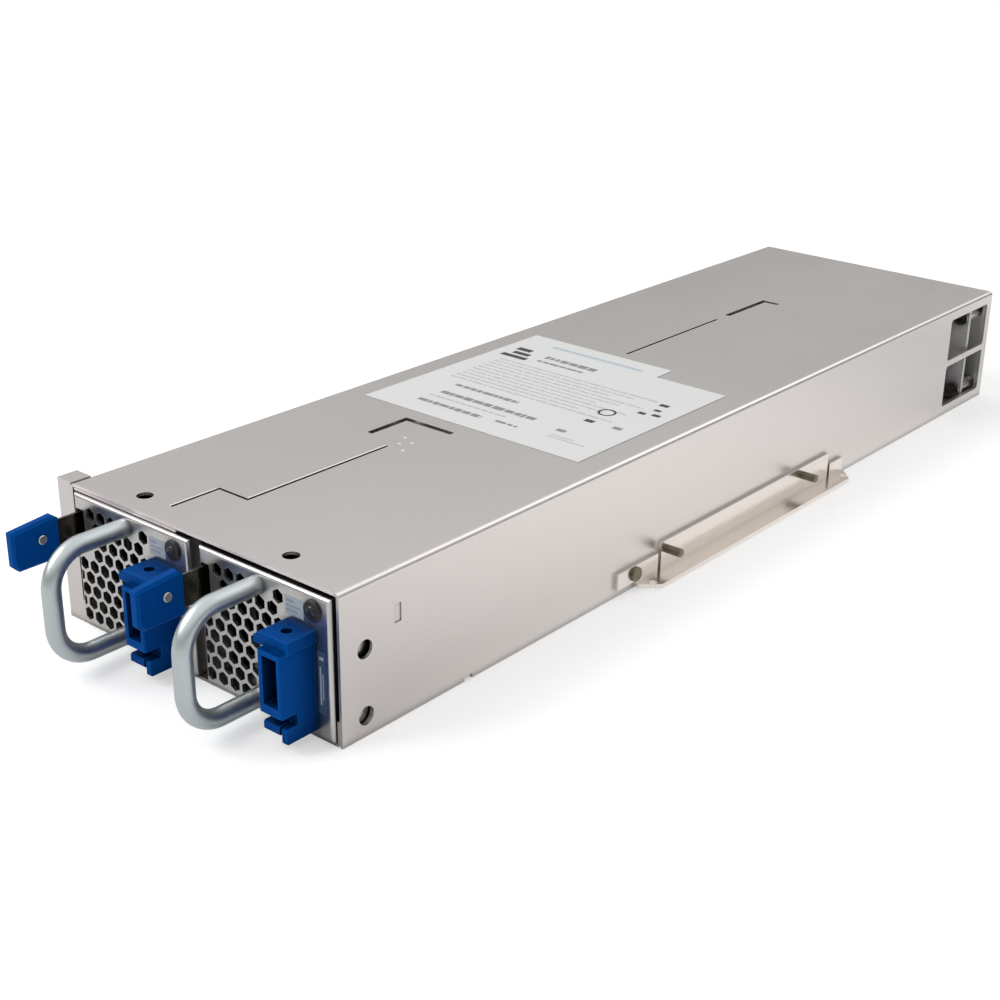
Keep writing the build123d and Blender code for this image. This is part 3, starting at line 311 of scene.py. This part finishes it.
finishes = {
    "cageSheet": metalMaterial("cageSheet", (0.74, 0.70, 0.675), 0.30, 0.05, 0.04, edge=0.3, depth=0.6),
    "bracketSheet": metalMaterial("bracketSheet", (0.86, 0.80, 0.75), 0.20, 0.04, 0.03, 0.01, depth=0.1),
    # The rear panel: the cage's plated sheet painted paler and with no seam shade, so the inside reads lit.
    # This is painted light.
    "rearPaintedLightSheet": metalMaterial("rearPaintedLightSheet", (0.84, 0.85, 0.80), 0.42, 0.05, 0.04, edge=0.0, depth=0.0),
    # The front edge strips: the cage sheet painted paler and pinker, a painted highlight along the front
    # edge.
    "hemHighlightSheet": metalMaterial("hemHighlightSheet", (0.95, 0.86, 0.88), 0.50, 0.05, 0.04, edge=0.5, depth=0.3),
    "moduleSheet": metalMaterial("moduleSheet", (0.64, 0.625, 0.605), 0.30, 0.10, 0.06, depth=0.85),
    "springSteel": metalMaterial("springSteel", (0.085, 0.078, 0.062), 0.28, 0.5, 0.3, edge=0.6),
    "handleCoat": metalMaterial("handleCoat", (0.61, 0.655, 0.67), 0.38, 0.10, 0.03, 0.01, edge=0.0),
    "fastener": metalMaterial("fastener", (0.52, 0.50, 0.47), 0.28, 0.2, 0.1),
    "oliveSteel": metalMaterial("oliveSteel", (0.21, 0.19, 0.135), 0.34, 0.2, 0.1),
    "rivetHead": metalMaterial("rivetHead", (0.93, 0.92, 0.90), 0.30, 0.05, 0.05),
    "heatSink": metalMaterial("heatSink", (0.66, 0.67, 0.68), 0.38, 0.1, 0.2),
    "contactMetal": metalMaterial("contactMetal", (0.80, 0.50, 0.40), 0.26, 0.2, 0.05),
    "chokeWire": metalMaterial("chokeWire", (0.62, 0.30, 0.14), 0.32, 0.2, 0.2),
    # The long reach and deep setting paint shade into the inlet's mouth: painted shade.
    "bluePlastic": plasticMaterial(
        "bluePlastic", (0.0005, 0.066, 0.31), (0.002, 0.15, 0.50), 0.42, shine=0.03, reach=0.009,
        depth=0.92),
    "blackPlastic": plasticMaterial("blackPlastic", (0.012, 0.012, 0.014), (0.05, 0.05, 0.055), 0.45),
    "lampLens": plasticMaterial("lampLens", (0.014, 0.017, 0.03), (0.06, 0.07, 0.09), 0.15),
    "canSleeve": plasticMaterial("canSleeve", (0.01, 0.015, 0.03), (0.04, 0.05, 0.08), 0.30),
    "windingTape": plasticMaterial("windingTape", (0.55, 0.40, 0.06), (0.6, 0.5, 0.2), 0.45),
    "board": plasticMaterial("board", (0.03, 0.14, 0.07), (0.10, 0.28, 0.16), 0.35),
    "paleBoard": plasticMaterial("paleBoard", (0.62, 0.60, 0.60), (0.80, 0.80, 0.72), 0.40, 0.9),
    "labelFilm": plasticMaterial("labelFilm", (0.78, 0.79, 0.78), (0.86, 0.87, 0.87), 0.40, 0.02, 0.5),
    "printPale": plasticMaterial("printPale", (0.50, 0.58, 0.66), (0.5, 0.58, 0.66), 0.5, 0.02, 0.0),
    "printGrey": plasticMaterial("printGrey", (0.27, 0.28, 0.30), (0.27, 0.28, 0.3), 0.5, 0.02, 0.0),
    "printFaint": plasticMaterial("printFaint", (0.56, 0.57, 0.58), (0.56, 0.57, 0.58), 0.5, 0.02, 0.0),
    "printDark": plasticMaterial("printDark", (0.045, 0.045, 0.05), (0.05, 0.05, 0.05), 0.5, 0.02, 0.0),
    "tagFilm": plasticMaterial("tagFilm", (0.36, 0.42, 0.48), (0.5, 0.55, 0.6), 0.42, 0.1, 0.5),
    "tagStrip": plasticMaterial("tagStrip", (0.06, 0.11, 0.20), (0.1, 0.18, 0.3), 0.42, 0.1, 0.5),
}

# Nodes whose finish differs from that of their slot.
nodeFinishes = {
    "backplane_board": "paleBoard",
    "rear_panel": "rearPaintedLightSheet",
    "bracket_studs": "oliveSteel",
    "bracket_screw": "oliveSteel",
    "module_a_tab_rivet": "rivetHead",
    "module_b_tab_rivet": "rivetHead",
}

slotFinishes = {
    "cage_sheet": "cageSheet",
    "bracket_sheet": "bracketSheet",
    "module_sheet": "moduleSheet",
    "spring_steel": "springSteel",
    "handle_coat": "handleCoat",
    "blue_plastic": "bluePlastic",
    "black_plastic": "blackPlastic",
    "lamp_lens": "lampLens",
    "label_film": "labelFilm",
    "board": "board",
    "contact_metal": "contactMetal",
    "fastener": "fastener",
    "heat_sink": "heatSink",
    "can_sleeve": "canSleeve",
    "winding_tape": "windingTape",
    "choke_wire": "chokeWire",
}


def dressCadNodes():
    for part in frame["record"]["subparts"]:
        node = cadNodes[part["node"]]
        finish = nodeFinishes.get(part["node"], slotFinishes[part["material_slot"]])
        material = finishes[finish]
        if not node.material_slots:
            node.data.materials.append(material)
        for slot in node.material_slots:
            slot.material = material


dressCadNodes()


# Thin pieces on the sheet: print, tags, stakes and folds

def makePiece(name, verts, faces, finish, body, smooth=False):
    mesh = bpy.data.meshes.new(name)
    corners = [[int(i) for i in face] for face in faces]
    mesh.from_pydata(np.asarray(verts, dtype=float).tolist(), [], corners)
    mesh.polygons.foreach_set("use_smooth", [smooth] * len(mesh.polygons))
    mesh.materials.append(finishes[finish])
    piece = bpy.data.objects.new(name, mesh)
    bpy.context.scene.collection.objects.link(piece)
    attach(piece, body)
    return piece


def quadGrid(rows, columns, closed=False):
    # Faces between neighbouring rows of points; each row closes on itself, the rows only if closed.
    row = np.arange(rows if closed else rows - 1)[:, None]
    column = np.arange(columns)[None, :]
    rowAfter = (row + 1) % rows
    columnAfter = (column + 1) % columns
    corners = (row * columns + column, rowAfter * columns + column,
               rowAfter * columns + columnAfter, row * columns + columnAfter)
    return np.stack(np.broadcast_arrays(*corners), axis=-1).reshape(-1, 4)


def blockMesh(boxes):
    # Eight corners and six faces for each box (x0, x1, y0, y1, z0, z1).
    corners = np.array(
        [(0, 2, 4), (1, 2, 4), (1, 3, 4), (0, 3, 4), (0, 2, 5), (1, 2, 5), (1, 3, 5), (0, 3, 5)])
    sides = np.array([(0, 3, 2, 1), (4, 5, 6, 7), (0, 1, 5, 4), (1, 2, 6, 5), (2, 3, 7, 6), (3, 0, 4, 7)])
    verts = np.array(boxes, dtype=float)[:, corners].reshape(-1, 3)
    faces = (sides + len(corners) * np.arange(len(boxes))[:, None, None]).reshape(-1, 4)
    return verts, faces


def domeMesh(x, y, z0, height, radius, sides=24, rings=4):
    # Height over the sheet falls as the cosine of the way out to the rim, on a flat closed base.
    share = np.arange(1, rings + 1)[:, None] / rings
    turn = 2 * np.pi * np.arange(sides)[None, :] / sides
    lift = np.broadcast_to(height * np.cos(share * np.pi / 2), (rings, sides))
    reach = radius * share
    grid = np.stack((x + reach * np.cos(turn), y + reach * np.sin(turn), z0 + lift), axis=-1)
    verts = np.concatenate(([(x, y, z0 + height)], grid.reshape(-1, 3)))
    first = 1 + np.arange(sides)
    crown = np.stack((np.zeros(sides, dtype=int), first, np.roll(first, -1)), axis=-1)
    base = [(first + (rings - 1) * sides)[::-1]]
    return verts, [*crown, *(quadGrid(rings, sides) + 1), *base]


def ringMesh(x, y, z0, z1, radius, band, steps):
    # A rectangle as wide as the band is carried round a circle.
    turn = 2 * np.pi * np.arange(steps)[:, None] / steps
    reach = np.array((radius, radius, radius - band, radius - band))
    height = np.broadcast_to((z0, z1, z1, z0), (steps, 4))
    grid = np.stack((x + reach * np.cos(turn), y + reach * np.sin(turn), height), axis=-1)
    return grid.reshape(-1, 3), quadGrid(steps, 4, closed=True)


def beadMesh(x0, width, z0, height, foot, y0, y1, steps=6):
    # The profile is half a sine wave across, with a foot below it, carried straight from y0 to y1.
    share = np.arange(steps + 1) / steps
    across = np.append(x0 + width * share, (x0 + width, x0))
    up = np.append(z0 + height * np.sin(np.pi * share), (z0 - foot, z0 - foot))
    count = len(across)
    along = np.repeat([[y0], [y1]], count, axis=1)
    grid = np.stack((np.tile(across, (2, 1)), along, np.tile(up, (2, 1))), axis=-1)
    around = np.arange(count)
    return grid.reshape(-1, 3), [*quadGrid(2, count)[:, ::-1], around[::-1], around + count]


labelPrint = {
    # Millimetres; the corner is the label's front left one
    "corner": (-41.6, -71.0),
    "sunk": 0.05,
    "proud": 0.02,
    "seed": 11,
    "dash": (1.2, 4.2),
    "space": (0.3, 0.7),
    "tall": (0.7, 1.0),
    # u0, u1, v0, v1 from the corner
    "solid": {
        "printPale": [(12.5, 49, 75, 76.6)],
        "printFaint": [(62.8, 76.3, 10, 10.6), (62.8, 71.0, 11.6, 12.1)],
        "printGrey": [(73.0, 76.0, 27.4, 29.4), (61.8, 65.0, 15.2, 17.0)],
        "printDark": [(3.9, 14.2, 58.6, 60.9), (5.9, 12.6, 62.3, 64.6), (4.6, 10.4, 66.0, 68.6),
                      (63.0, 66.2, 27.0, 29.0), (71.8, 75.0, 52.6, 54.6), (70.8, 73.4, 42.9, 44.7),
                      (75.2, 78.0, 43.9, 45.7), (73.2, 75.6, 47.9, 49.4)],
    },
    # finish, u0, u1, v, height of the row
    "rows": [("printGrey", 17.6, 38, 65.9, 3.0), ("printGrey", 17.6, 36, 61.5, 1.5)]
    + [("printFaint", 7, 70 - 7 * (i % 3), 55.0 - 2.6 * i, 1.0) for i in range(10)]
    + [("printGrey", 14, 39, 26.0, 2.3), ("printGrey", 15, 52, 18.2, 2.7),
       ("printFaint", 14, 44, 14.0, 1.1), ("printGrey", 14, 39, 9.0, 2.3), ("printGrey", 44, 52, 9.7, 1.4)],
    # u, v, outer radius, width of the band, steps round
    "ring": (64.1, 37.2, 2.9, 0.75, 20),
}


def makeLabelPrint():
    # Rows of dashes of random length, plain blocks and a ring, each a thin block sunk in the film.
    draw = np.random.default_rng(labelPrint["seed"])
    x0, y0 = labelPrint["corner"]
    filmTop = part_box("rating_label")[1].z / mm
    z0 = filmTop - labelPrint["sunk"]
    z1 = filmTop + labelPrint["proud"]
    flat = {name: list(areas) for name, areas in labelPrint["solid"].items()}
    for finish, u, u1, v, height in labelPrint["rows"]:
        while u < u1:
            wide = min(draw.uniform(*labelPrint["dash"]), u1 - u)
            tall = height * draw.uniform(*labelPrint["tall"])
            flat[finish].append((u, u + wide, v - tall / 2, v + tall / 2))
            u += wide + draw.uniform(*labelPrint["space"])
    for finish, areas in flat.items():
        boxes = [(x0 + u0, x0 + u1, y0 + v0, y0 + v1, z0, z1) for u0, u1, v0, v1 in areas]
        verts, faces = blockMesh(boxes)
        makePiece("label_" + finish, verts * mm, faces, finish, "cage")
    u, v, radius, band, steps = labelPrint["ring"]
    verts, faces = ringMesh(x0 + u, y0 + v, z0, z1, radius, band, steps)
    makePiece("label_ring", verts * mm, faces, "printDark", "cage")


stakes = {
    # Places on the top sheet, millimetres
    "places": [(-7.9, -88.8), (-3.4, -90.7), (-1.4, -96.6), (-5.8, -93.3)],
    "radius": 0.6,
    "height": 0.12,
    "sunk": 0.02,
}


def makeStakes():
    # Low round heads on the top sheet.
    for index, (x, y) in enumerate(stakes["places"]):
        verts, faces = domeMesh(x, y, topZ / mm - stakes["sunk"], stakes["height"], stakes["radius"])
        makePiece("stake_%d" % index, verts * mm, faces, "rivetHead", "cage", True)


hem = {
    # Millimetres
    "side": 1.4,
    "length": 4.6,
    "sheet": 0.8,
    "seam": 0.12,
    "thick": 0.7,
    "partitionEdge": -7.4,
    # The dulled face of the sheet's front edge: its reach ahead of and behind the edge, its height,
    # and how far it lies under the top
    "facing": (0.03, 0.3, 0.7, 0.05),
}


def makeHem():
    # Two straight strips: the doubled front edge of the top sheet over the left bay, under a fine
    # seam, and the dull face of the sheet's own front edge over both bays. Both are painted paler
    # than the cage sheet, a painted highlight along the front edge.
    z1 = topZ / mm - hem["sheet"] - hem["seam"]
    x0 = leftX / mm + hem["side"]
    x1 = rightX / mm - hem["side"]
    y0 = frontY / mm
    doubled = (x0, hem["partitionEdge"], y0, y0 + hem["length"], z1 - hem["thick"], z1)
    ahead, behind, tall, under = hem["facing"]
    facing = (x0, x1, y0 - ahead, y0 + behind, topZ / mm - under - tall, topZ / mm - under)
    verts, faces = blockMesh([doubled, facing])
    makePiece("front_hem", verts * mm, faces, "hemHighlightSheet", "cage")


beads = {
    # Millimetres
    "height": 0.13,
    "width": 0.8,
    "sunk": 0.02,
    "foot": 0.1,
    # x of the left edge, y from and to
    "runs": [(-19.3, -164.6, -149.0), (-8.3, -148.2, -97.0)],
}


def makeBeads():
    # A low round bead beside each long slot. Its pale rivet finish, lighter than the sheet it is pressed
    # in, is a painted highlight along the ridge.
    for index, (x0, y0, y1) in enumerate(beads["runs"]):
        z0 = topZ / mm - beads["sunk"]
        verts, faces = beadMesh(x0, beads["width"], z0, beads["height"], beads["foot"], y0, y1)
        makePiece("slot_bead_%d" % index, verts * mm, faces, "rivetHead", "cage")


tags = {
    "thick": 0.06,
    "sunk": 0.02,
    # finish, how many layers up, and areas x0, x1, z0, z1 from the module's left edge, millimetres
    "areas": (
        ("tagFilm", 1.0, [(31.0, 37.3, 31.2, 36.0)]),
        ("tagStrip", 1.0, [(41.5, 44.0, 8.1, 24.9)]),
        ("printGrey", 1.4, [(31.6, 34.0, 34.6, 35.2), (31.6, 36.2, 33.4, 33.8), (31.6, 35.2, 32.2, 32.7)]),
        ("printPale", 1.4, [(42.0, 43.5, 22.6, 23.4), (42.1, 42.6, 10.5, 20.8), (43.0, 43.3, 12.0, 19.0)]),
    ),
}


def makeTags():
    # Thin films on each front plate, with their print as a second layer.
    for module in moduleNames:
        low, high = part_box("module_%s_front_plate" % module)
        x0 = low.x / mm
        y1 = low.y / mm
        for finish, layers, areas in tags["areas"]:
            y0 = y1 - tags["thick"] * layers
            boxes = [(x0 + a, x0 + b, y0, y1 + tags["sunk"], c, d) for a, b, c, d in areas]
            verts, faces = blockMesh(boxes)
            name = "module_%s_%s" % (module, finish)
            makePiece(name, verts * mm, faces, finish, "module_" + module)


makeLabelPrint()
makeStakes()
makeHem()
makeBeads()
makeTags()
print("thin pieces ready")

cameraSetup = {
    # Metres, degrees and millimetres
    "place": (0.294536, -0.404818, 0.207973),
    "azimuth": 38.806,
    "elevation": 23.364,
    "roll": 1.23,
    "lens": 59.01,
    "sensor": 36.0,
    "shift": (-0.0360, 0.0089),
    "nearest": 0.01,
}


def makeCamera():
    # The view turns about the way back from the object by the roll.
    azimuth, elevation, roll = (math.radians(cameraSetup[k]) for k in ("azimuth", "elevation", "roll"))
    back = Vector((math.sin(azimuth) * math.cos(elevation),
                   -math.cos(azimuth) * math.cos(elevation), math.sin(elevation)))
    side = Vector((0, 0, 1)).cross(back).normalized()
    up = back.cross(side)
    turnedSide = side * math.cos(roll) + up * math.sin(roll)
    turnedUp = up * math.cos(roll) - side * math.sin(roll)
    data = bpy.data.cameras.new("camera")
    data.lens = cameraSetup["lens"]
    data.sensor_width = cameraSetup["sensor"]
    data.shift_x, data.shift_y = cameraSetup["shift"]
    data.clip_start = cameraSetup["nearest"]
    camera = bpy.data.objects.new("camera", data)
    bpy.context.scene.collection.objects.link(camera)
    matrix = Matrix((turnedSide, turnedUp, back)).transposed().to_4x4()
    matrix.translation = Vector(cameraSetup["place"])
    camera.matrix_world = matrix
    bpy.context.scene.camera = camera


studio = {
    "floorHalf": 12.0,
    "floorColour": (0.80, 0.80, 0.80, 1),
    "floorRoughness": 0.9,
    "floorGlow": 0.41,
    "worldFill": 0.62,
    "skyLow": -0.03,
    "skySlope": 1.70,
    "skyHigh": 0.90,
    "mirrorLine": 0.03,
    "mirrorGlow": 0.305,
    "mirrorFade": 8.3,
    # y where the far paper starts to glow again, its rise for each metre, and its most
    "farGlow": (0.24, 3.0, 0.34),
    # x beside the right wall where the near paper's lift starts and ends, and its rise for each metre
    "nearLift": (0.049, 0.09, 4.0),
    "lamps": (
        # name, place, aim, size, watts
        ("keyLamp", (-0.9, -1.1, 1.3), (0.0, -0.05, 0.02), 1.0, 16.0),
        ("rearLamp", (0.3, 1.3, 1.2), (0.0, 0.05, 0.02), 1.0, 2.5),
    ),
}


def rayKinds(tree):
    # One for rays that come straight from the camera, and one for those that metal sends on.
    path = tree.nodes.new("ShaderNodeLightPath")
    direct = mathNode(tree, "MAXIMUM", path.outputs["Is Camera Ray"], path.outputs["Is Transmission Ray"])
    return direct, path.outputs["Is Glossy Ray"]


def makeFloor():
    half = studio["floorHalf"]
    mesh = bpy.data.meshes.new("floor")
    corners = [(-half, -half, 0), (half, -half, 0), (half, half, 0), (-half, half, 0)]
    mesh.from_pydata(corners, [], [(0, 1, 2, 3)])
    floor = bpy.data.objects.new("floor", mesh)
    bpy.context.scene.collection.objects.link(floor)
    material, tree, shader = newMaterial("floorPaper")
    shader.inputs["Base Color"].default_value = studio["floorColour"]
    shader.inputs["Roughness"].default_value = studio["floorRoughness"]
    shader.inputs["Specular IOR Level"].default_value = 0.0
    shader.inputs["Emission Color"].default_value = (1, 1, 1, 1)
    # In mirrored rays the paper fades with the square of the way from its brightest line, glows
    # again far behind, and has a lift beside the right wall that falls to nothing outwards.
    direct, mirrored = rayKinds(tree)
    split = tree.nodes.new("ShaderNodeSeparateXYZ")
    tree.links.new(objectPoint(tree), split.inputs[0])
    away = mathNode(tree, "SUBTRACT", split.outputs["Y"], studio["mirrorLine"])
    fade = mathNode(tree, "MULTIPLY", mathNode(tree, "MULTIPLY", away, away), studio["mirrorFade"])
    mirror = mathNode(tree, "MAXIMUM", mathNode(tree, "SUBTRACT", studio["mirrorGlow"], fade), 0.0)
    start, rise, most = studio["farGlow"]
    far = mathNode(tree, "MULTIPLY_ADD", split.outputs["Y"], rise, -start * rise)
    mirror = mathNode(tree, "MAXIMUM", mirror, mathNode(tree, "MINIMUM", far, most))
    start, end, rise = studio["nearLift"]
    lift = mathNode(tree, "MULTIPLY_ADD", split.outputs["X"], -rise, end * rise)
    lift = mathNode(tree, "MAXIMUM", lift, 0.0)
    beside = mathNode(tree, "GREATER_THAN", split.outputs["X"], start)
    mirror = mathNode(tree, "MULTIPLY_ADD", lift, beside, mirror)
    mirror = mathNode(tree, "MULTIPLY", mirror, mirrored)
    glow = mathNode(tree, "MULTIPLY_ADD", direct, studio["floorGlow"], mirror)
    tree.links.new(glow, shader.inputs["Emission Strength"])
    mesh.materials.append(material)


def makeWorld():
    world = bpy.data.worlds.new("studio")
    bpy.context.scene.world = world
    world.use_nodes = True
    tree = world.node_tree
    background = tree.nodes["Background"]
    background.inputs["Color"].default_value = (1, 1, 1, 1)
    # What metal mirrors grows brighter with height, the camera sees white, and the rest is fill.
    coords = tree.nodes.new("ShaderNodeTexCoord")
    split = tree.nodes.new("ShaderNodeSeparateXYZ")
    tree.links.new(coords.outputs["Generated"], split.inputs[0])
    rise = mathNode(tree, "MULTIPLY_ADD", split.outputs["Z"], studio["skySlope"], studio["skyLow"])
    rise = mathNode(tree, "MAXIMUM", mathNode(tree, "MINIMUM", rise, studio["skyHigh"]), 0.0)
    direct, mirrored = rayKinds(tree)
    sky = mathNode(tree, "MULTIPLY_ADD", mirrored, rise, direct)
    either = mathNode(tree, "MAXIMUM", direct, mirrored)
    fill = mathNode(tree, "MULTIPLY_ADD", either, -studio["worldFill"], studio["worldFill"])
    tree.links.new(mathNode(tree, "ADD", sky, fill), background.inputs["Strength"])


def makeLamps():
    for name, place, aim, size, watts in studio["lamps"]:
        data = bpy.data.lights.new(name, "AREA")
        data.size = size
        data.energy = watts
        lamp = bpy.data.objects.new(name, data)
        bpy.context.scene.collection.objects.link(lamp)
        lamp.location = place
        lamp.rotation_euler = (Vector(aim) - Vector(place)).to_track_quat("-Z", "Y").to_euler()


makeCamera()
makeFloor()
makeWorld()
makeLamps()
bpy.context.scene.view_settings.view_transform = "Standard"
print("studio ready")
